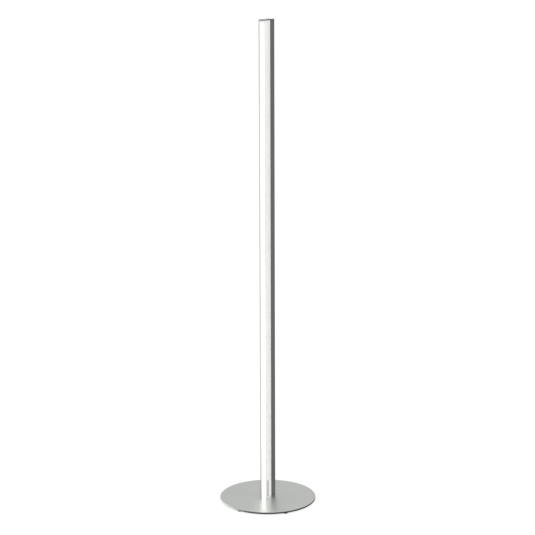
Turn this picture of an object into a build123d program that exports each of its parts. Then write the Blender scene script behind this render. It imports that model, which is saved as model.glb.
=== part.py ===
from build123d import *
import os

# LED floor lamp: a lit column that stands on a round metal base.
# Millimetres, +Z up. The origin is on the floor under the middle of the base.
# The lit front of the column faces -Y and its metal channel is at the back, towards +Y.

# Whole lamp
overall_height = 1200.0
slide_gap = 0.15
thread_gap = 0.05
running_gap = 0.06
hole_gap = 0.1

# Round base plate and its stick-on feet
base_diameter = 240.0
base_thickness = 4.5
base_top_chamfer = 0.5
base_bottom_chamfer = 0.4
foot_count = 6
foot_diameter = 10.0
foot_height = 2.5
foot_rim_margin = 1.0
foot_edge_round = 0.4
foot_ring_turn = 22.5

# Column section: opal front strip, clear bar, metal channel
column_width = 19.0
diffuser_thickness = 1.0
diffuser_side_margin = 2.2
diffuser_edge_round = 0.3
bar_depth = 22.2
bar_edge_chamfer = 0.5
tongue_depth = 3.0
channel_depth = 21.0
channel_corner_round = 0.8

# Inside of the channel: a front tray for the light strip, a web, a rear chamber for the wires
wall = 1.4
web_thickness = 1.4
tray_depth = 7.4
cover_thickness = 1.2
cover_set_back = 0.3
groove_depth = 0.5

# Light strip
led_board_width = 8.0
led_board_thickness = 1.2
led_end_margin = 5.0
led_pitch = 16.6
led_size = 3.5
led_height = 0.8

# End pieces
cap_thickness = 2.5
cap_edge_round = 0.5
foot_block_height = 26.0
top_block_height = 14.0

# Screws
base_screw_radius = 2.0
base_screw_head_radius = 3.75
base_screw_length = 16.0
base_screw_spacing = 8.2
cap_screw_radius = 1.5
cap_screw_head_radius = 2.75
cap_screw_length = 12.0
cap_screw_spacing = 7.2
channel_screw_radius = 1.5
channel_screw_head_radius = 2.85
channel_screw_head_height = 1.65
channel_screw_length = 6.0
board_screw_radius = 1.25
board_screw_head_radius = 2.35
board_screw_head_height = 1.35
board_screw_length = 5.0
flat_head_rim = 0.3
socket_to_shank = 0.65
screw_end_room = 1.0

# Cord gland at the back of the foot
gland_bore_radius = 3.2
gland_thread_radius = 5.0
gland_flange_radius = 6.5
gland_flange_thickness = 2.5
gland_edge_round = 0.8
gland_inside_length = 3.8
gland_nut_flats = 13.0
gland_nut_thickness = 3.0
gland_above_block = 14.0

# Terminal block above the gland
terminal_width = 11.0
terminal_depth = 7.0
terminal_height = 10.0
terminal_above_gland = 16.0
terminal_pole_spacing = 5.0
terminal_entry_radius = 1.3
terminal_entry_depth = 5.0
terminal_screw_radius = 1.5
terminal_screw_length = 3.0

# Wires
wire_radius = 0.8
wire_spacing = 5.0
wire_overlap = 4.0
lead_radius = 0.7
lead_hole_gap = 0.4
lead_rise = 8.0
lead_bend = 1.4
lead_reach = 2.0

# Control board with its push button, at hand height on the back
button_below_top = 210.0
board_length = 56.0
board_side_margin = 0.7
board_thickness = 1.2
spacer_radius = 2.4
spacer_length = 5.8
spacer_end_margin = 7.0
switch_size = 6.2
switch_height = 3.5
plunger_radius = 1.6
plunger_depth = 1.1
switch_well_depth = 2.4
button_radius = 3.85
button_flange_radius = 4.7
button_flange_thickness = 0.8
button_rest_gap = 0.1
button_stand_out = 1.6
button_edge_round = 0.6
button_dish_depth = 0.4
button_dish_radius = 2.9
bezel_neck_radius = 4.9
bezel_flange_radius = 6.2
bezel_flange_thickness = 1.2
bezel_edge_round = 0.5

# Parts on the control board: place across, place above the button, width, height, stand-off
power_transistor = (0.0, 11.0, 6.5, 6.5, 2.3)
control_chip = (-3.2, -9.0, 4.0, 5.0, 1.6)
protection_diode = (-3.2, -15.0, 2.7, 4.4, 2.2)
capacitor_x = 3.2
capacitor_above_button = -9.0
capacitor_radius = 2.5
capacitor_length = 4.6

# Heights
base_bottom = foot_height
base_top = base_bottom + base_thickness
cap_bottom = overall_height - cap_thickness
column_length = cap_bottom - base_top
led_strip_bottom = base_top + led_end_margin
led_strip_length = column_length - 2 * led_end_margin

# Depths, from the front of the column to its back
column_depth = diffuser_thickness + bar_depth + channel_depth
front_y = -column_depth / 2
bar_front = front_y + diffuser_thickness
channel_front = bar_front + bar_depth
channel_back = channel_front + channel_depth
web_front = channel_front + tray_depth
web_back = web_front + web_thickness
back_wall_front = channel_back - wall
cover_front = channel_front + tongue_depth + cover_set_back
led_board_front = web_front - led_board_thickness
led_front = led_board_front - led_height

# Room inside the channel
inner_width = column_width - 2 * wall
chamber_depth = back_wall_front - web_back
chamber_middle = (web_back + back_wall_front) / 2
block_width = inner_width - 2 * slide_gap
block_depth = chamber_depth - 2 * slide_gap

# Places of the pieces behind the web
foot_block_top = base_top + foot_block_height
top_block_bottom = cap_bottom - top_block_height
gland_z = foot_block_top + gland_above_block
terminal_bottom = gland_z + terminal_above_gland
terminal_top = terminal_bottom + terminal_height
terminal_screw_z = terminal_top - terminal_screw_radius - screw_end_room
button_height = overall_height - button_below_top
board_bottom = button_height - board_length / 2
board_top = button_height + board_length / 2
board_back = back_wall_front - spacer_length
board_front = board_back - board_thickness
wire_y = (web_back + board_front) / 2
switch_back = board_back + switch_height
flange_back = back_wall_front - button_rest_gap
flange_front = flange_back - button_flange_thickness
bezel_back = channel_back + bezel_flange_thickness
lead_x = inner_width / 2 - lead_radius - lead_hole_gap - hole_gap
lead_z = board_top + lead_rise
lead_y = led_board_front - lead_radius - hole_gap
channel_screw_heights = [
    base_top + foot_block_height / 3,
    base_top + foot_block_height * 2 / 3,
    cap_bottom - top_block_height / 2,
]
board_screw_heights = [board_bottom + spacer_end_margin, board_top - spacer_end_margin]


def block(width, depth, height, front, bottom, middle=0.0):
    """A block placed by the middle of its width, its front face and its bottom."""
    return Pos(middle, front + depth / 2, bottom + height / 2) * Box(width, depth, height)


def post(radius, height, x, y, bottom):
    """An upright round rod."""
    return Pos(x, y, bottom + height / 2) * Cylinder(radius, height)


def peg(radius, length, x, front, z):
    """A round rod that lies along Y, from its front end."""
    return Pos(x, front + length / 2, z) * Rot(90, 0, 0) * Cylinder(radius, length)


def pair(spacing):
    """Two places side by side, across the middle."""
    return (-spacing / 2, spacing / 2)


def flat_head(radius, head_radius, length, gap=0.0):
    """A countersunk screw without its socket, head up at Z 0. A gap turns it into its hole."""
    rim_bottom = -flat_head_rim
    cone_height = head_radius - radius
    body = Pos(0, 0, rim_bottom / 2) * Cylinder(head_radius + gap, flat_head_rim)
    cone = Pos(0, 0, rim_bottom - cone_height / 2) * Cone(radius + gap, head_radius + gap, cone_height)
    shank = Pos(0, 0, -length / 2) * Cylinder(radius + gap, length)
    return body + cone + shank


def hex_socket(radius, depth, top):
    """A hexagonal key socket that is cut down from the top of a screw's head."""
    outline = RegularPolygon(radius * socket_to_shank, 6, major_radius=False)
    return extrude(Pos(0, 0, top - depth) * outline, depth)


def flat_screw(radius, head_radius, length):
    return flat_head(radius, head_radius, length) - hex_socket(radius, radius * socket_to_shank, 0)


def button_screw(radius, head_radius, head_height, length):
    """A round-headed screw: its head stands on Z 0, its shank goes down."""
    head = Pos(0, 0, head_height / 2) * Cylinder(head_radius, head_height)
    head = fillet(head.edges().sort_by(Axis.Z)[-1], head_height * socket_to_shank)
    shank = Pos(0, 0, -length / 2) * Cylinder(radius, length)
    return head + shank - hex_socket(radius, head_height * socket_to_shank, head_height)


def rear_place(x, z):
    """A place on the back of the channel, where a screw's head faces +Y."""
    return Pos(x, channel_back, z) * Rot(-90, 0, 0)


def make_base_plate():
    plate = post(base_diameter / 2, base_thickness, 0, 0, base_bottom)
    rims = plate.edges().sort_by(Axis.Z)
    plate = chamfer(rims[-1], base_top_chamfer)
    rims = plate.edges().sort_by(Axis.Z)
    plate = chamfer(rims[0], base_bottom_chamfer)
    for x in pair(base_screw_spacing):
        hole = flat_head(base_screw_radius, base_screw_head_radius, base_screw_length, hole_gap)
        plate -= Pos(x, chamber_middle, base_bottom) * Rot(180, 0, 0) * hole
    return plate


def make_base_feet():
    ring_radius = base_diameter / 2 - foot_rim_margin - foot_diameter / 2
    feet = []
    for place in PolarLocations(ring_radius, foot_count, foot_ring_turn):
        foot = Pos(0, 0, foot_height / 2) * Cylinder(foot_diameter / 2, foot_height)
        foot = fillet(foot.edges().sort_by(Axis.Z)[0], foot_edge_round)
        feet.append(place * foot)
    return Compound(feet)


def make_base_screws():
    screw = flat_screw(base_screw_radius, base_screw_head_radius, base_screw_length)
    places = [Pos(x, chamber_middle, base_bottom) * Rot(180, 0, 0) for x in pair(base_screw_spacing)]
    return Compound([place * screw for place in places])


def block_screw_holes(heights):
    """The tapped holes of the screws that come in through the back of the channel."""
    radius = channel_screw_radius + thread_gap
    depth = channel_screw_length - wall + screw_end_room
    return [peg(radius, depth, 0, back_wall_front - depth, z) for z in heights]


def make_foot_block():
    body = block(block_width, block_depth, foot_block_height, web_back + slide_gap, base_top)
    depth = base_screw_length - base_thickness + screw_end_room
    for x in pair(base_screw_spacing):
        body -= post(base_screw_radius + thread_gap, depth, x, chamber_middle, base_top)
    for hole in block_screw_holes(channel_screw_heights[:2]):
        body -= hole
    return body


def make_top_block():
    body = block(block_width, block_depth, top_block_height, web_back + slide_gap, top_block_bottom)
    depth = cap_screw_length - cap_thickness + screw_end_room
    for x in pair(cap_screw_spacing):
        body -= post(cap_screw_radius + thread_gap, depth, x, chamber_middle, cap_bottom - depth)
    for hole in block_screw_holes(channel_screw_heights[2:]):
        body -= hole
    return body


def make_column_channel():
    body = block(column_width, channel_depth, column_length, channel_front, base_top)
    corners = body.edges().filter_by(Axis.Z).group_by(Axis.Y)[-1]
    body = fillet(corners, channel_corner_round)
    body -= block(inner_width, tray_depth, column_length, channel_front, base_top)
    body -= block(inner_width, chamber_depth, column_length, web_back, base_top)
    groove_width = inner_width + 2 * groove_depth
    groove_height = cover_thickness + 2 * slide_gap
    body -= block(groove_width, groove_height, column_length, cover_front - slide_gap, base_top)
    for z in channel_screw_heights:
        body -= peg(channel_screw_radius + hole_gap, wall, 0, back_wall_front, z)
    for z in board_screw_heights:
        body -= peg(board_screw_radius + hole_gap, wall, 0, back_wall_front, z)
    body -= peg(gland_thread_radius + hole_gap, wall, 0, back_wall_front, gland_z)
    body -= peg(bezel_neck_radius + hole_gap, wall, 0, back_wall_front, button_height)
    for x in (-lead_x, lead_x):
        body -= peg(lead_radius + lead_hole_gap, web_thickness, x, web_front, lead_z)
    return body


def make_channel_screws():
    screw = button_screw(
        channel_screw_radius, channel_screw_head_radius, channel_screw_head_height, channel_screw_length
    )
    return Compound([rear_place(0, z) * screw for z in channel_screw_heights])


def make_light_bar():
    bar = block(column_width, bar_depth, column_length, bar_front, base_top)
    bar = chamfer(bar.edges().filter_by(Axis.Z).group_by(Axis.Y)[0], bar_edge_chamfer)
    tongue_width = inner_width - 2 * slide_gap
    return bar + block(tongue_width, tongue_depth, column_length, channel_front, base_top)


def make_front_diffuser():
    width = column_width - 2 * diffuser_side_margin
    strip = block(width, diffuser_thickness, column_length, front_y, base_top)
    front_edges = strip.edges().filter_by(Axis.Z).group_by(Axis.Y)[0]
    return fillet(front_edges, diffuser_edge_round)


def make_led_cover():
    width = inner_width + 2 * (groove_depth - slide_gap)
    return block(width, cover_thickness, column_length, cover_front, base_top)


def make_led_circuit():
    return block(led_board_width, led_board_thickness, led_strip_length, led_board_front, led_strip_bottom)


def make_led_chips():
    count = int(led_strip_length // led_pitch)
    first = led_strip_bottom + (led_strip_length - (count - 1) * led_pitch) / 2
    chips = []
    for index in range(count):
        bottom = first + index * led_pitch - led_size / 2
        chips.append(block(led_size, led_height, led_size, led_front, bottom))
    return Compound(chips)


def make_led_leads():
    """Two leads from the board, through the web beside the light strip and onto its pads."""
    leads = []
    for side in (-1, 1):
        points = [
            (side * lead_x, wire_y, board_top - wire_overlap),
            (side * lead_x, wire_y, lead_z),
            (side * lead_x, lead_y, lead_z),
            (side * lead_reach, lead_y, lead_z),
        ]
        route = FilletPolyline(*points, radius=lead_bend)
        start = Plane(origin=points[0], z_dir=(0, 0, 1))
        leads.append(sweep(start * Circle(lead_radius), path=route))
    return Compound(leads)


def make_top_cap():
    cap = block(column_width, column_depth, cap_thickness, front_y, cap_bottom)
    cap = fillet(cap.edges().filter_by(Axis.Z), channel_corner_round)
    cap = fillet(cap.edges().group_by(Axis.Z)[-1], cap_edge_round)
    for x in pair(cap_screw_spacing):
        hole = flat_head(cap_screw_radius, cap_screw_head_radius, cap_screw_length, hole_gap)
        cap -= Pos(x, chamber_middle, overall_height) * hole
    return cap


def make_cap_screws():
    screw = flat_screw(cap_screw_radius, cap_screw_head_radius, cap_screw_length)
    return Compound([Pos(x, chamber_middle, overall_height) * screw for x in pair(cap_screw_spacing)])


def make_cord_gland():
    length = wall + gland_inside_length
    flange = peg(gland_flange_radius, gland_flange_thickness, 0, channel_back, gland_z)
    flange = fillet(flange.edges().sort_by(Axis.Y)[-1], gland_edge_round)
    body = flange + peg(gland_thread_radius, length, 0, channel_back - length, gland_z)
    bore_length = length + gland_flange_thickness
    return body - peg(gland_bore_radius, bore_length, 0, channel_back - length, gland_z)


def make_gland_nut():
    """A hexagonal nut with two of its flats towards the side walls of the channel."""
    outline = RegularPolygon(gland_nut_flats / 2, 6, major_radius=False, rotation=30)
    nut = extrude(outline, gland_nut_thickness)
    nut = Pos(0, back_wall_front, gland_z) * Rot(90, 0, 0) * nut
    front = back_wall_front - gland_nut_thickness
    return nut - peg(gland_thread_radius + thread_gap, gland_nut_thickness, 0, front, gland_z)


def make_terminal_block():
    body = block(terminal_width, terminal_depth, terminal_height, web_back, terminal_bottom)
    well_radius = terminal_screw_radius + thread_gap
    well_front = web_back + terminal_depth - terminal_screw_length
    for x in pair(terminal_pole_spacing):
        middle = web_back + terminal_depth / 2
        body -= post(terminal_entry_radius, terminal_entry_depth, x, middle, terminal_bottom)
        body -= peg(well_radius, terminal_screw_length, x, well_front, terminal_screw_z)
    return body


def make_terminal_screws():
    front = web_back + terminal_depth - terminal_screw_length
    slot_depth = terminal_screw_radius / 2
    slot_front = web_back + terminal_depth - slot_depth
    screws = []
    for x in pair(terminal_pole_spacing):
        screw = peg(terminal_screw_radius, terminal_screw_length, x, front, terminal_screw_z)
        slot_width = terminal_screw_radius / 3
        slot_bottom = terminal_screw_z - slot_width / 2
        screw -= block(2 * terminal_screw_radius, slot_depth, slot_width, slot_front, slot_bottom, x)
        screws.append(screw)
    return Compound(screws)


def make_feed_wires():
    length = board_bottom + wire_overlap - terminal_top
    return Compound([post(wire_radius, length, x, wire_y, terminal_top) for x in pair(wire_spacing)])


def make_control_board():
    width = inner_width - 2 * board_side_margin
    return block(width, board_thickness, board_length, board_front, board_bottom)


def make_board_components():
    """A power transistor above the switch, a control chip, a diode and a capacitor below it."""
    parts = []
    for x, above, width, height, depth in (power_transistor, control_chip, protection_diode):
        bottom = button_height + above - height / 2
        parts.append(block(width, depth, height, board_back, bottom, x))
    capacitor_z = button_height + capacitor_above_button
    parts.append(peg(capacitor_radius, capacitor_length, capacitor_x, board_back, capacitor_z))
    return Compound(parts)


def make_board_spacers():
    spacers = []
    for z in board_screw_heights:
        spacer = peg(spacer_radius, spacer_length, 0, board_back, z)
        spacers.append(spacer - peg(board_screw_radius + thread_gap, spacer_length, 0, board_back, z))
    return Compound(spacers)


def make_board_screws():
    screw = button_screw(
        board_screw_radius, board_screw_head_radius, board_screw_head_height, board_screw_length
    )
    return Compound([rear_place(0, z) * screw for z in board_screw_heights])


def make_switch_body():
    body = block(switch_size, switch_height, switch_size, board_back, button_height - switch_size / 2)
    well_front = switch_back - switch_well_depth
    return body - peg(plunger_radius + running_gap, switch_well_depth, 0, well_front, button_height)


def make_switch_plunger():
    front = switch_back - plunger_depth
    return peg(plunger_radius, flange_front - front, 0, front, button_height)


def make_push_button():
    flange = peg(button_flange_radius, button_flange_thickness, 0, flange_front, button_height)
    length = bezel_back + button_stand_out - flange_back
    stem = peg(button_radius, length, 0, flange_back, button_height)
    stem = fillet(stem.edges().sort_by(Axis.Y)[-1], button_edge_round)
    ball_radius = (button_dish_radius**2 + button_dish_depth**2) / (2 * button_dish_depth)
    ball_middle = flange_back + length + ball_radius - button_dish_depth
    return flange + stem - Pos(0, ball_middle, button_height) * Sphere(ball_radius)


def make_button_bezel():
    flange = peg(bezel_flange_radius, bezel_flange_thickness, 0, channel_back, button_height)
    flange = fillet(flange.edges().sort_by(Axis.Y)[-1], bezel_edge_round)
    ring = flange + peg(bezel_neck_radius, wall, 0, back_wall_front, button_height)
    bore_length = wall + bezel_flange_thickness
    return ring - peg(button_radius + running_gap, bore_length, 0, back_wall_front, button_height)


pieces = {
    "base_plate": make_base_plate,
    "base_feet": make_base_feet,
    "base_screws": make_base_screws,
    "foot_block": make_foot_block,
    "column_channel": make_column_channel,
    "channel_screws": make_channel_screws,
    "light_bar": make_light_bar,
    "front_diffuser": make_front_diffuser,
    "led_cover": make_led_cover,
    "led_circuit": make_led_circuit,
    "led_chips": make_led_chips,
    "led_leads": make_led_leads,
    "top_block": make_top_block,
    "top_cap": make_top_cap,
    "cap_screws": make_cap_screws,
    "cord_gland": make_cord_gland,
    "gland_nut": make_gland_nut,
    "terminal_block": make_terminal_block,
    "terminal_screws": make_terminal_screws,
    "feed_wires": make_feed_wires,
    "control_board": make_control_board,
    "board_components": make_board_components,
    "board_spacers": make_board_spacers,
    "board_screws": make_board_screws,
    "switch_body": make_switch_body,
    "switch_plunger": make_switch_plunger,
    "push_button": make_push_button,
    "button_bezel": make_button_bezel,
}

os.makedirs("parts", exist_ok=True)
for name, make in pieces.items():
    export_step(make(), os.path.join("parts", name + ".step"))
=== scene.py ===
import math

import bmesh
import bpy
from mathutils import Matrix, Vector


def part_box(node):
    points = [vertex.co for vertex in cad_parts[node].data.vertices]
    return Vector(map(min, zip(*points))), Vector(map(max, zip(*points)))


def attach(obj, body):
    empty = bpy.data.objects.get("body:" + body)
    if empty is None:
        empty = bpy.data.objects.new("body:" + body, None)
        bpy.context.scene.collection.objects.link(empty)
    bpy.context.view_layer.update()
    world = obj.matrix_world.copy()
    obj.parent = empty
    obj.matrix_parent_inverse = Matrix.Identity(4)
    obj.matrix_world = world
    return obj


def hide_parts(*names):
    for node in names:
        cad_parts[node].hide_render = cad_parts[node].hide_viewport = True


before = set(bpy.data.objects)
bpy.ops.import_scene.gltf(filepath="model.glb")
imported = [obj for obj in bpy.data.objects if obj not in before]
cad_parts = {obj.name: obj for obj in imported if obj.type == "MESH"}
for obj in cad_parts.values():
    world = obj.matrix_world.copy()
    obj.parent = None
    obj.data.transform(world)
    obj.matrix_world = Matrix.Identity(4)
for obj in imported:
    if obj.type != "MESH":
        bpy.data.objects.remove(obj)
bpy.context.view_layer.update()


# Base plate: a round disc of steel plate, cut by laser and chamfered round its rim, then brushed and
# plated in satin nickel. Two countersunk holes behind its middle take the screws that hold the column.
MM = 0.001


def start_finish(name):
    """A new material, its node tree, its shader and the place on the piece."""
    finish = bpy.data.materials.new(name)
    finish.use_nodes = True
    tree = finish.node_tree
    shader = tree.nodes["Principled BSDF"]
    place = tree.nodes.new("ShaderNodeTexCoord").outputs["Object"]
    return finish, tree, shader, place


def grain(tree, place, repeats, detail=2.0):
    """Noise with a number of repeats per metre along X, Y and Z."""
    stretch = tree.nodes.new("ShaderNodeMapping")
    stretch.inputs["Scale"].default_value = repeats
    tree.links.new(place, stretch.inputs["Vector"])
    noise = tree.nodes.new("ShaderNodeTexNoise")
    noise.inputs["Scale"].default_value = 1.0
    noise.inputs["Detail"].default_value = detail
    tree.links.new(stretch.outputs["Vector"], noise.inputs["Vector"])
    return noise.outputs["Fac"]


def between(tree, value, low, high, start=0.3, end=0.7):
    """The value, moved from start and end to low and high, and held within them."""
    change = tree.nodes.new("ShaderNodeMapRange")
    change.inputs["From Min"].default_value = start
    change.inputs["From Max"].default_value = end
    change.inputs["To Min"].default_value = low
    change.inputs["To Max"].default_value = high
    tree.links.new(value, change.inputs["Value"])
    return change.outputs["Result"]


def shades(tree, value, first, second, start=0.3, end=0.7):
    """A colour that goes from the first to the second as the value goes from start to end."""
    ramp = tree.nodes.new("ShaderNodeValToRGB")
    ramp.color_ramp.elements[0].position = start
    ramp.color_ramp.elements[0].color = (*first, 1.0)
    ramp.color_ramp.elements[1].position = end
    ramp.color_ramp.elements[1].color = (*second, 1.0)
    tree.links.new(value, ramp.inputs["Fac"])
    return ramp.outputs["Color"]


def combine(tree, operation, first, second):
    """A sum, product or other step of two values."""
    step = tree.nodes.new("ShaderNodeMath")
    step.operation = operation
    for socket, value in zip(step.inputs, (first, second)):
        if isinstance(value, float):
            socket.default_value = value
        else:
            tree.links.new(value, socket)
    return step.outputs["Value"]


def emboss(tree, shader, value, depth):
    """Lets the value raise the surface by up to the depth, in metres."""
    bump = tree.nodes.new("ShaderNodeBump")
    bump.inputs["Distance"].default_value = depth
    bump.inputs["Strength"].default_value = 0.6
    tree.links.new(value, bump.inputs["Height"])
    tree.links.new(bump.outputs["Normal"], shader.inputs["Normal"])


def satin_nickel(name, brushing):
    """Brushed and plated metal. The brushing gives the repeats of its strokes along each axis."""
    finish, tree, shader, place = start_finish(name)
    cloud = grain(tree, place, (14.0, 14.0, 14.0), 3.0)
    strokes = grain(tree, place, brushing, 3.0)
    colour = shades(tree, cloud, (0.695, 0.716, 0.684), (0.725, 0.746, 0.714))
    tree.links.new(colour, shader.inputs["Base Color"])
    worn = between(tree, cloud, -0.02, 0.02)
    roughness = combine(tree, "ADD", between(tree, strokes, 0.34, 0.44), worn)
    tree.links.new(roughness, shader.inputs["Roughness"])
    shader.inputs["Metallic"].default_value = 1.0
    emboss(tree, shader, strokes, 2e-6)
    return finish


def new_piece(name, maker, finishes, node):
    """An object made from a bmesh that stands in for a solid of the lamp, whose own object is hidden."""
    mesh = bpy.data.meshes.new(name)
    maker.to_mesh(mesh)
    maker.free()
    for finish in finishes:
        mesh.materials.append(finish)
    piece = bpy.data.objects.new(name, mesh)
    bpy.context.scene.collection.objects.link(piece)
    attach(piece, "lamp")
    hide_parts(node)
    return piece


def raise_face(maker, face, height):
    """Turns a flat face into an upright body."""
    grown = bmesh.ops.extrude_face_region(maker, geom=[face])
    moved = [item for item in grown["geom"] if isinstance(item, bmesh.types.BMVert)]
    bmesh.ops.translate(maker, verts=moved, vec=(0, 0, height))


def lies_flat(edge):
    """True for an edge round the top or the bottom, not one that goes up the side."""
    level_within = 0.1 * MM
    return abs(edge.verts[0].co.z - edge.verts[1].co.z) < level_within


plate_low, plate_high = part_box("base_plate")
plate_radius = plate_high.y
plate_middle = (plate_low.z + plate_high.z) / 2
top_chamfer = 0.5 * MM
bottom_chamfer = 0.4 * MM
rim_segments = 288
plate_maker = bmesh.new()
bmesh.ops.create_circle(
    plate_maker,
    cap_ends=True,
    segments=rim_segments,
    radius=plate_radius,
    matrix=Matrix.Translation((0, 0, plate_low.z)),
)
raise_face(plate_maker, plate_maker.faces[:][0], plate_high.z - plate_low.z)
rims = [edge for edge in plate_maker.edges if lies_flat(edge)]
top_rim = [edge for edge in rims if edge.verts[0].co.z > plate_middle]
bottom_rim = [edge for edge in rims if edge.verts[0].co.z < plate_middle]
for rim, chamfer in ((top_rim, top_chamfer), (bottom_rim, bottom_chamfer)):
    bmesh.ops.bevel(
        plate_maker, geom=rim, offset=chamfer, affect="EDGES", segments=1, profile=0.5, material=-1
    )
bmesh.ops.recalc_face_normals(plate_maker, faces=plate_maker.faces[:])
nickel_plate = satin_nickel("nickel_plate", (60.0, 4200.0, 4200.0))
base_plate = new_piece("round_base", plate_maker, [nickel_plate], "base_plate")

screws_low, screws_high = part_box("base_screws")
head_radius = (screws_high.y - screws_low.y) / 2
shank_radius = 2.0 * MM
hole_gap = 0.1 * MM
head_rim = 0.3 * MM
beyond = 1.0 * MM
hole_segments = 64
weld_within = 0.001 * MM
sharp_from = math.radians(20)
hole_outline = (
    (0, plate_low.z - beyond),
    (head_radius + hole_gap, plate_low.z - beyond),
    (head_radius + hole_gap, plate_low.z + head_rim),
    (shank_radius + hole_gap, plate_low.z + head_rim + head_radius - shank_radius),
    (shank_radius + hole_gap, plate_high.z + beyond),
    (0, plate_high.z + beyond),
)
hole_maker = bmesh.new()
for hole_x in (screws_low.x + head_radius, screws_high.x - head_radius):
    hole_middle = Vector((hole_x, (screws_low.y + screws_high.y) / 2, 0))
    corners = [hole_middle + Vector((across, 0, height)) for across, height in hole_outline]
    line = [hole_maker.verts.new(corner) for corner in corners]
    line += [hole_maker.edges.new(ends) for ends in zip(line, line[1:])]
    bmesh.ops.spin(
        hole_maker,
        geom=line,
        cent=hole_middle,
        axis=(0, 0, 1),
        angle=math.tau,
        steps=hole_segments,
        use_merge=True,
    )
bmesh.ops.remove_doubles(hole_maker, verts=hole_maker.verts[:], dist=weld_within)
bmesh.ops.recalc_face_normals(hole_maker, faces=hole_maker.faces[:])
hole_mesh = bpy.data.meshes.new("holes")
hole_maker.to_mesh(hole_mesh)
hole_maker.free()
holes = bpy.data.objects.new("holes", hole_mesh)
bpy.context.scene.collection.objects.link(holes)
drill = base_plate.modifiers.new("countersinks", "BOOLEAN")
drill.operation = "DIFFERENCE"
drill.solver = "EXACT"
drill.object = holes
ready = bpy.context.evaluated_depsgraph_get()
drilled = bpy.data.meshes.new_from_object(base_plate.evaluated_get(ready))
base_plate.modifiers.clear()
base_plate.data = drilled
bpy.data.objects.remove(holes)
drilled.shade_smooth()
drilled.set_sharp_from_angle(angle=sharp_from)


# Feet: six round pads of black rubber, cut from sheet with their lower edge eased.
# They are stuck under the plate, close to its rim, and keep it off the floor.
def dress(node, finish):
    """Gives a solid of the lamp its finish."""
    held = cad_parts[node].data.materials
    held.clear()
    held.append(finish)


def grained(name, repeats, detail, colours, roughness, relief, metallic=0.0, specular=0.5):
    """A finish whose colour, gloss and relief all follow one grain."""
    finish, tree, shader, place = start_finish(name)
    texture = grain(tree, place, repeats, detail)
    tree.links.new(shades(tree, texture, *colours), shader.inputs["Base Color"])
    tree.links.new(between(tree, texture, *roughness), shader.inputs["Roughness"])
    shader.inputs["Metallic"].default_value = metallic
    shader.inputs["Specular IOR Level"].default_value = specular
    emboss(tree, shader, texture, relief)
    return finish


soft_rubber = grained(
    "black_rubber",
    repeats=(700.0, 700.0, 700.0),
    detail=4.0,
    colours=((0.016, 0.016, 0.016), (0.036, 0.035, 0.033)),
    roughness=(0.62, 0.85),
    relief=4e-5,
)
dress("base_feet", soft_rubber)


# Foot block: a block of aluminium, sawn from bar and milled to fit the back room of the channel.
# It is drilled and tapped from below and from behind, and ties the column to the plate.
aluminium = grained(
    "milled_aluminium",
    repeats=(2500.0, 150.0, 150.0),
    detail=2.0,
    colours=((0.64, 0.64, 0.65), (0.74, 0.74, 0.75)),
    roughness=(0.28, 0.45),
    relief=1e-5,
    metallic=1.0,
)
dress("foot_block", aluminium)


# Base screws: two countersunk machine screws of steel with a bright zinc coat and a hexagonal socket.
# They go up through the plate into the foot block.
zinc = grained(
    "zinc_coat",
    repeats=(900.0, 900.0, 900.0),
    detail=4.0,
    colours=((0.50, 0.51, 0.53), (0.62, 0.62, 0.61)),
    roughness=(0.22, 0.42),
    relief=8e-6,
    metallic=1.0,
)
dress("base_screws", zinc)


# Channel: one metal extrusion, with a tray along its front for the light and a closed room along its back
# for the wires. It has a dark grey powder coat, which is satin and a little pebbled.
graphite_coat = grained(
    "graphite_coat",
    repeats=(1500.0, 1500.0, 1500.0),
    detail=3.0,
    colours=((0.160, 0.160, 0.155), (0.190, 0.190, 0.184)),
    roughness=(0.32, 0.46),
    relief=1.5e-5,
    specular=0.8,
)
dress("column_channel", graphite_coat)


# Channel screws: three round-headed steel screws with the same zinc coat. They go through the back of
# the channel, two into the foot block and one into the top block.
dress("channel_screws", zinc)


# Circuit strip: a long white circuit board, stuck in the front tray of the channel. Bare copper pads lie
# half way between its light chips, where such a strip is cut and soldered.
chip_size = 3.5 * MM
chip_pitch = 16.6 * MM
first_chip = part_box("led_chips")[0].z + chip_size / 2
pad_inner = 1.8 * MM
pad_outer = 3.2 * MM
pad_half_height = 1.2 * MM
soft_edge = 0.1 * MM


def split(tree, place):
    """The X, Y and Z of a place."""
    parts = tree.nodes.new("ShaderNodeSeparateXYZ")
    tree.links.new(place, parts.inputs["Vector"])
    return parts.outputs


def give_way(tree, amount, first, second):
    """The first colour, which gives way to the second as the amount goes from 0 to 1."""
    mix = tree.nodes.new("ShaderNodeMix")
    mix.data_type = "RGBA"
    sockets = {socket.identifier: socket for socket in (*mix.inputs, *mix.outputs)}
    tree.links.new(amount, sockets["Factor_Float"])
    tree.links.new(first, sockets["A_Color"])
    tree.links.new(second, sockets["B_Color"])
    return sockets["Result_Color"]


def past(tree, value, line):
    """1 where the value is past a line and 0 elsewhere, with a soft edge."""
    return between(tree, value, 0.0, 1.0, line, line + soft_edge)


def short_of(tree, value, line):
    """1 where the value is short of a line and 0 elsewhere, with a soft edge."""
    return between(tree, value, 1.0, 0.0, line - soft_edge, line)


def from_nearest_chip(tree, height):
    """How far up or down the middle of the nearest light chip is."""
    above_first = combine(tree, "SUBTRACT", height, first_chip)
    return combine(tree, "PINGPONG", above_first, chip_pitch / 2)


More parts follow.
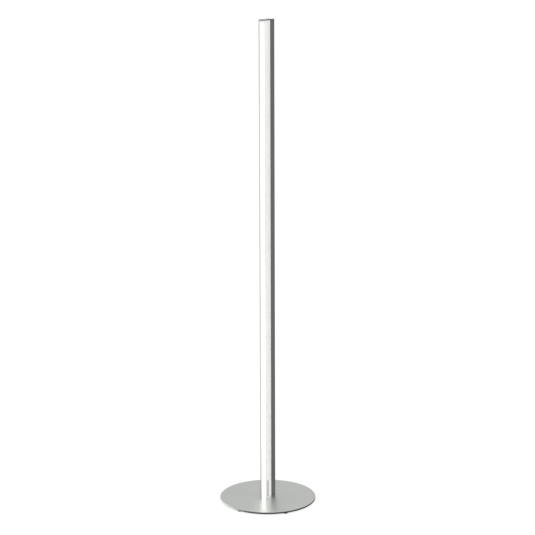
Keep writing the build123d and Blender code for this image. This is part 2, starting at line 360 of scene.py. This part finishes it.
def white_circuit():
    finish, tree, shader, place = start_finish("white_circuit")
    parts = split(tree, place)
    mask = grain(tree, place, (300.0, 300.0, 300.0))
    up = from_nearest_chip(tree, parts["Z"])
    across = combine(tree, "ABSOLUTE", parts["X"], 0.0)
    halfway = past(tree, up, chip_pitch / 2 - pad_half_height)
    beside = combine(tree, "MULTIPLY", past(tree, across, pad_inner), short_of(tree, across, pad_outer))
    pad = combine(tree, "MULTIPLY", halfway, beside)
    lacquer = shades(tree, mask, (0.80, 0.80, 0.77), (0.88, 0.88, 0.86))
    copper = shades(tree, mask, (0.60, 0.28, 0.15), (0.72, 0.37, 0.21))
    tree.links.new(give_way(tree, pad, lacquer, copper), shader.inputs["Base Color"])
    tree.links.new(pad, shader.inputs["Metallic"])
    tree.links.new(between(tree, mask, 0.35, 0.5), shader.inputs["Roughness"])
    return finish


dress("led_circuit", white_circuit())


# Light chips: a row of small white housings, each with a round window of yellow phosphor gel.
# They are soldered along the circuit strip at an even pitch.
warm_white = (1.0, 0.992, 0.975)
window_radius = 1.4 * MM
window_glow = 1.5
housing_glow = 0.1


def light_chip():
    finish, tree, shader, place = start_finish("light_chip")
    parts = split(tree, place)
    gel = grain(tree, place, (1800.0, 1800.0, 1800.0))
    up = from_nearest_chip(tree, parts["Z"])
    across_squared = combine(tree, "MULTIPLY", parts["X"], parts["X"])
    up_squared = combine(tree, "MULTIPLY", up, up)
    from_middle = combine(tree, "SQRT", combine(tree, "ADD", across_squared, up_squared), 0.0)
    window = short_of(tree, from_middle, window_radius)
    housing = shades(tree, gel, (0.80, 0.80, 0.78), (0.86, 0.86, 0.84))
    phosphor = shades(tree, gel, (0.90, 0.70, 0.22), (0.96, 0.80, 0.34))
    tree.links.new(give_way(tree, window, housing, phosphor), shader.inputs["Base Color"])
    tree.links.new(between(tree, gel, 0.25, 0.4), shader.inputs["Roughness"])
    shader.inputs["Emission Color"].default_value = (*warm_white, 1.0)
    glow = between(tree, window, housing_glow, window_glow, 0.0, 1.0)
    tree.links.new(glow, shader.inputs["Emission Strength"])
    return finish


dress("led_chips", light_chip())


# Inner cover: a thin strip of opal acrylic. It slides in two grooves of the channel, in front of the light
# chips, and spreads their light so that no single chip shows.
opal_white = ((0.860, 0.860, 0.845), (0.900, 0.900, 0.890))


def lit_opal(name, glow, unevenness, colours=opal_white, reach=None):
    """Milky acrylic with uneven light behind it, which fades where a function of X, Y and Z says so."""
    finish, tree, shader, place = start_finish(name)
    milk = grain(tree, place, (90.0, 90.0, 25.0))
    tree.links.new(shades(tree, milk, *colours), shader.inputs["Base Color"])
    tree.links.new(between(tree, milk, 0.38, 0.50), shader.inputs["Roughness"])
    shader.inputs["Emission Color"].default_value = (*warm_white, 1.0)
    strength = between(tree, milk, glow * (1 - unevenness), glow)
    if reach:
        strength = combine(tree, "MULTIPLY", strength, reach(tree, split(tree, place)))
    tree.links.new(strength, shader.inputs["Emission Strength"])
    return finish


dress("led_cover", lit_opal("lit_inner_cover", glow=0.7, unevenness=0.06))


# Clear bar: cast acrylic, sawn to length, polished on its long sides and chamfered along its front.
# Its back is sanded, where the light comes in, and its tongue sits in the tray of the channel.
def polished_acrylic():
    finish, tree, shader, place = start_finish("polished_acrylic")
    wipe = grain(tree, place, (220.0, 220.0, 30.0), 3.0)
    colour = shades(tree, wipe, (0.890, 0.902, 0.886), (0.915, 0.926, 0.910))
    tree.links.new(colour, shader.inputs["Base Color"])
    tree.links.new(between(tree, wipe, 0.0, 0.03), shader.inputs["Roughness"])
    shader.inputs["Transmission Weight"].default_value = 1.0
    shader.inputs["IOR"].default_value = 1.49
    return finish


bar_low, bar_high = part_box("light_bar")
strip_low, strip_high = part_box("front_diffuser")
channel_low, channel_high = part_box("column_channel")
seat_gap = 0.05 * MM
tray_wall = 1.4 * MM
tray_gap = 0.15 * MM
side = bar_high.x
front = bar_low.y + seat_gap
shoulder = channel_low.y - seat_gap
tongue_side = channel_high.x - (tray_wall + tray_gap)
front_chamfer = 0.5 * MM
half_section = (
    (strip_high.x, front),
    (side - front_chamfer, front),
    (side, front + front_chamfer),
    (side, shoulder),
    (tongue_side, shoulder),
    (tongue_side, bar_high.y),
)
section = half_section + tuple((-x, y) for x, y in reversed(half_section))
bar_foot = bar_low.z + seat_gap
bar_maker = bmesh.new()
foot_face = bar_maker.faces.new([bar_maker.verts.new((x, y, bar_foot)) for x, y in section])
raise_face(bar_maker, foot_face, bar_high.z - seat_gap - bar_foot)
bmesh.ops.recalc_face_normals(bar_maker, faces=bar_maker.faces[:])
CLEAR, BONDED, SANDED, SAWN, MATT = 0, 1, 2, 3, 4
end_normal = 0.9
for face in bar_maker.faces:
    middle = face.calc_center_median()
    if abs(face.normal.z) > end_normal:
        face.material_index = SAWN
    elif middle.y > shoulder - seat_gap:
        face.material_index = SANDED
    elif abs(middle.x) < strip_high.x:
        face.material_index = BONDED
    # The front margin and chamfer on the left side alone are matt and dim grey, darker than the clear ones
    # on the right.
    elif middle.y < front + front_chamfer and middle.x < 0:
        face.material_index = MATT
    else:
        face.material_index = CLEAR
sanded_grey = ((0.420, 0.420, 0.410), (0.460, 0.460, 0.450))
dim_left_grey = ((0.330, 0.335, 0.330), (0.390, 0.395, 0.390))
bar_finishes = [
    polished_acrylic(),
    lit_opal("bonded_front", glow=0.3, unevenness=0.05),
    lit_opal("sanded_back", glow=0.58, unevenness=0.06, colours=sanded_grey),
    lit_opal("sawn_end", glow=0.1, unevenness=0.2),
    lit_opal("matt_dim_left_edge", glow=0.05, unevenness=0.2, colours=dim_left_grey),
]
new_piece("clear_bar", bar_maker, bar_finishes, "light_bar")


# Front strip: a thin strip of opal acrylic, bonded along the front of the clear bar with a narrow margin
# left on each side. It is the lit face. Its glow falls off towards its long edges and its top end, because
# the light behind it doesn't reach that far, and a narrow margin along its left edge stays dim.
front_glow = 2.2
edge_glow = 0.1
left_start = 2.9 * MM
left_full = 5.0 * MM
right_full = 4.4 * MM
top_start = 3.0 * MM
top_full = 6.0 * MM


def reach_of_light(tree, parts):
    """The share of the glow that gets to a place on the strip, which is full in the middle."""
    edge = edge_glow / front_glow
    left = between(tree, parts["X"], edge, 1.0, strip_low.x + left_start, strip_low.x + left_full)
    right = between(tree, parts["X"], 1.0, edge, strip_high.x - right_full, strip_high.x)
    top = between(tree, parts["Z"], 1.0, 0.0, strip_high.z - top_full, strip_high.z - top_start)
    return combine(tree, "MULTIPLY", combine(tree, "MINIMUM", left, right), top)


lit_front = lit_opal("lit_front", glow=front_glow, unevenness=0.04, reach=reach_of_light)
dress("front_diffuser", lit_front)


# Top block: a shorter block of the same milled aluminium in the top of the channel. A screw through the
# back of the channel holds it, and it carries the cap.
dress("top_block", aluminium)


# Cap: a small metal plate over the whole top of the column. It is plated in satin nickel like the base,
# and brushed across the column.
dress("top_cap", satin_nickel("nickel_cap", (3600.0, 60.0, 3600.0)))


# Cap screws: two small countersunk steel screws with a zinc coat, flush with the top of the cap.
# They hold it down on the top block.
dress("cap_screws", zinc)


# Cord gland: a moulded black nylon bushing low on the back of the channel, where the supply comes in.
# A hexagonal nut of the same nylon holds it from inside.
moulded_pores = (1600.0, 1600.0, 1600.0)
pore_detail = 3.0
pore_relief = 2e-5


def moulded(name, colours, roughness=(0.42, 0.60)):
    """Moulded plastic with fine pores, in two shades."""
    return grained(name, moulded_pores, pore_detail, colours, roughness, pore_relief)


black_nylon = moulded("black_nylon", ((0.018, 0.018, 0.018), (0.036, 0.036, 0.036)))
dress("cord_gland", black_nylon)
dress("gland_nut", black_nylon)


# Terminal block: a two-pole block of pale moulded plastic in the back room, above the gland.
# Its two slotted clamp screws are zinc-coated steel.
pale_plastic = moulded("pale_plastic", ((0.62, 0.62, 0.60), (0.72, 0.72, 0.70)))
dress("terminal_block", pale_plastic)
dress("terminal_screws", zinc)


# Wires: two feed wires go up the back room from the terminal to the control board, and two leads go
# through the web to the circuit strip. Each pair has one red and one black plastic jacket.
def wire_jacket():
    finish, tree, shader, place = start_finish("wire_jacket")
    parts = split(tree, place)
    colour = shades(tree, parts["X"], (0.02, 0.02, 0.02), (0.42, 0.02, 0.02), 0.0, 1.0 * MM)
    tree.links.new(colour, shader.inputs["Base Color"])
    skin = grain(tree, place, (800.0, 800.0, 200.0))
    tree.links.new(between(tree, skin, 0.35, 0.5), shader.inputs["Roughness"])
    return finish


jacket = wire_jacket()
dress("feed_wires", jacket)
dress("led_leads", jacket)


# Control board: a green circuit board behind the push button, with fine copper tracks under its lacquer.
# It stands off the back of the channel on two spacers.
track_pitch = 1.27 * MM
track_crest = (0.75, 0.85)
track_break = (0.50, 0.52)


def tracks_along(tree, place, bands, repeats):
    """Fine straight tracks at an even pitch, which start and stop at random."""
    waves_per_scale = 20.0
    wave = tree.nodes.new("ShaderNodeTexWave")
    wave.bands_direction = bands
    wave.inputs["Scale"].default_value = math.tau / (waves_per_scale * track_pitch)
    tree.links.new(place, wave.inputs["Vector"])
    line = between(tree, wave.outputs["Fac"], 0.0, 1.0, *track_crest)
    runs = between(tree, grain(tree, place, repeats, 0.0), 0.0, 1.0, *track_break)
    return combine(tree, "MULTIPLY", line, runs)


def green_circuit():
    finish, tree, shader, place = start_finish("green_circuit")
    upright = tracks_along(tree, place, "X", (800.0, 1.0, 60.0))
    level = tracks_along(tree, place, "Z", (90.0, 1.0, 800.0))
    tracks = combine(tree, "MAXIMUM", upright, level)
    colour = shades(tree, tracks, (0.012, 0.110, 0.042), (0.030, 0.210, 0.080), 0.0, 1.0)
    tree.links.new(colour, shader.inputs["Base Color"])
    mask = grain(tree, place, (500.0, 500.0, 500.0))
    tree.links.new(between(tree, mask, 0.25, 0.4), shader.inputs["Roughness"])
    emboss(tree, shader, tracks, 3e-5)
    return finish


dress("control_board", green_circuit())


# Board spacers and screws: two spacers turned from brass rod, tapped for a small screw.
# A round-headed steel screw with a zinc coat holds each of them to the back of the channel.
turned_brass = grained(
    "turned_brass",
    repeats=(120.0, 3000.0, 120.0),
    detail=2.0,
    colours=((0.60, 0.44, 0.17), (0.74, 0.57, 0.26)),
    roughness=(0.22, 0.36),
    relief=4e-6,
    metallic=1.0,
)
dress("board_spacers", turned_brass)
dress("board_screws", zinc)


# Board components: a power transistor, a control chip and a diode in black epoxy cases, and a capacitor
# in an aluminium can. They are soldered to the board above and below the switch.
board_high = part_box("control_board")[1]
button_low, button_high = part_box("push_button")
button_height = (button_low.z + button_high.z) / 2
can_side = 0.3 * MM
can_foot = 0.8 * MM


def epoxy_and_metal(name, bare_metal):
    """Black epoxy that gives way to bare metal where a function of X, Y and Z says so."""
    finish, tree, shader, place = start_finish(name)
    pores = grain(tree, place, moulded_pores, pore_detail)
    metal = bare_metal(tree, split(tree, place))
    epoxy = shades(tree, pores, (0.012, 0.012, 0.013), (0.030, 0.030, 0.031))
    bright = shades(tree, pores, (0.60, 0.60, 0.61), (0.70, 0.70, 0.71))
    tree.links.new(give_way(tree, metal, epoxy, bright), shader.inputs["Base Color"])
    tree.links.new(metal, shader.inputs["Metallic"])
    tree.links.new(between(tree, pores, 0.3, 0.5), shader.inputs["Roughness"])
    emboss(tree, shader, pores, pore_relief)
    return finish


def capacitor_can(tree, parts):
    """The capacitor, on the +X side below the button, apart from its black foot."""
    beside = past(tree, parts["X"], can_side)
    below = short_of(tree, parts["Z"], button_height)
    past_foot = past(tree, parts["Y"], board_high.y + can_foot)
    return combine(tree, "MULTIPLY", past_foot, combine(tree, "MULTIPLY", beside, below))


dress("board_components", epoxy_and_metal("component_cases", capacitor_can))


# Switch: a small square push switch, soldered to the board behind the button. Its case is black with
# a thin steel cover, and its plunger is pale moulded plastic.
switch_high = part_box("switch_body")[1]
cover_thickness = 0.3 * MM


def steel_cover(tree, parts):
    """The outer face of the switch."""
    return past(tree, parts["Y"], switch_high.y - cover_thickness)


dress("switch_body", epoxy_and_metal("switch_case", steel_cover))
dress("switch_plunger", pale_plastic)


# Push button: a round button moulded in black plastic, with a shallow dish for the finger.
# Its flange lies inside the wall of the channel, so that it can't fall out.
button_black = ((0.030, 0.030, 0.031), (0.050, 0.050, 0.050))
button_plastic = moulded("button_plastic", button_black, roughness=(0.32, 0.46))
dress("push_button", button_plastic)


# Button bezel: a turned metal ring, plated in satin nickel and pressed into the back of the channel.
# The button slides in it.
dress("button_bezel", satin_nickel("nickel_bezel", (400.0, 400.0, 400.0)))


# Floor and light: a wide white floor that melts into a white surround, under a soft and even dome that is
# dark below the horizon. A bright patch, low on the left, whitens the left side of the plate's rim.
floor_size = 80.0
floor_maker = bmesh.new()
bmesh.ops.create_grid(floor_maker, x_segments=1, y_segments=1, size=floor_size / 2)
floor_mesh = bpy.data.meshes.new("floor")
floor_maker.to_mesh(floor_mesh)
floor_maker.free()
floor = bpy.data.objects.new("floor", floor_mesh)
bpy.context.scene.collection.objects.link(floor)
floor_finish, floor_tree, floor_shader, floor_place = start_finish("white_floor")
floor_cloud = grain(floor_tree, floor_place, (0.8, 0.8, 0.8))
floor_colour = shades(floor_tree, floor_cloud, (0.40, 0.40, 0.40), (0.42, 0.42, 0.42))
floor_tree.links.new(floor_colour, floor_shader.inputs["Base Color"])
floor_shader.inputs["Roughness"].default_value = 1.0
floor_shader.inputs["Specular IOR Level"].default_value = 0.0
floor_shader.inputs["Emission Color"].default_value = (1.0, 1.0, 1.0, 1.0)
floor_shader.inputs["Emission Strength"].default_value = 0.75
floor_mesh.materials.append(floor_finish)
floor.visible_glossy = False

camera_azimuth = math.radians(30.0)
towards_camera = Vector((math.sin(camera_azimuth), -math.cos(camera_azimuth), 0.0))
camera_right = Vector((math.cos(camera_azimuth), math.sin(camera_azimuth), 0.0))
overhead = Vector((0, 0, 1))
patch_down = 0.4
patch_left = 0.8
patch_behind = 0.45
low_left = overhead * -patch_down - camera_right * patch_left - towards_camera * patch_behind

world = bpy.data.worlds.new("soft_dome")
bpy.context.scene.world = world
world.use_nodes = True
sky = world.node_tree
sky.nodes.clear()
look = sky.nodes.new("ShaderNodeTexCoord").outputs["Generated"]


def patch(towards, start, end, dim, bright):
    """A soft patch of the dome, bright in one direction."""
    lean = sky.nodes.new("ShaderNodeVectorMath")
    lean.operation = "DOT_PRODUCT"
    lean.inputs[1].default_value = towards.normalized()
    sky.links.new(look, lean.inputs[0])
    fade = sky.nodes.new("ShaderNodeMapRange")
    fade.interpolation_type = "SMOOTHSTEP"
    fade.inputs["From Min"].default_value = start
    fade.inputs["From Max"].default_value = end
    fade.inputs["To Min"].default_value = dim
    fade.inputs["To Max"].default_value = bright
    sky.links.new(lean.outputs["Value"], fade.inputs["Value"])
    return fade.outputs["Result"]


even_light = patch(overhead, start=0.0, end=0.34, dim=0.03, bright=0.74)
low_light = patch(low_left, start=0.6, end=0.95, dim=0.0, bright=1.2)
soft_light = combine(sky, "ADD", even_light, low_light)
paths = sky.nodes.new("ShaderNodeLightPath").outputs
seen = combine(sky, "MAXIMUM", paths["Is Camera Ray"], paths["Is Transmission Ray"])
shown = sky.nodes.new("ShaderNodeMix")
shown.inputs["B"].default_value = 1.0
sky.links.new(seen, shown.inputs["Factor"])
sky.links.new(soft_light, shown.inputs["A"])
dome = sky.nodes.new("ShaderNodeBackground")
dome.inputs["Color"].default_value = (1.0, 1.0, 1.0, 1.0)
sky.links.new(shown.outputs["Result"], dome.inputs["Strength"])
out = sky.nodes.new("ShaderNodeOutputWorld")
sky.links.new(dome.outputs["Background"], out.inputs["Surface"])
bpy.context.scene.view_settings.view_transform = "Standard"


# Camera: just under four metres away and a little above the lamp, thirty degrees round from the lit front.
# Its place and its lens are fitted to the outline of the plate and the edges of the column.
camera_distance = 3.8266
camera_height = 1.4102
camera_aside = 0.9 * MM
camera_pitch = math.radians(11.9995)
camera_roll = math.radians(-0.1763)
frame_pixels = 535
focal_pixels = 1594.86

ahead = -towards_camera * math.cos(camera_pitch) - Vector((0, 0, math.sin(camera_pitch)))
level_up = camera_right.cross(ahead)
right = camera_right * math.cos(camera_roll) + level_up * math.sin(camera_roll)
up = level_up * math.cos(camera_roll) - camera_right * math.sin(camera_roll)
camera_data = bpy.data.cameras.new("camera")
camera_data.sensor_width = 36.0
camera_data.lens = camera_data.sensor_width * focal_pixels / frame_pixels
camera = bpy.data.objects.new("camera", camera_data)
bpy.context.scene.collection.objects.link(camera)
turned = Matrix((right, up, -ahead)).transposed()
stand = towards_camera * camera_distance + camera_right * camera_aside + Vector((0, 0, camera_height))
camera.matrix_world = Matrix.LocRotScale(stand, turned, None)
bpy.context.scene.camera = camera
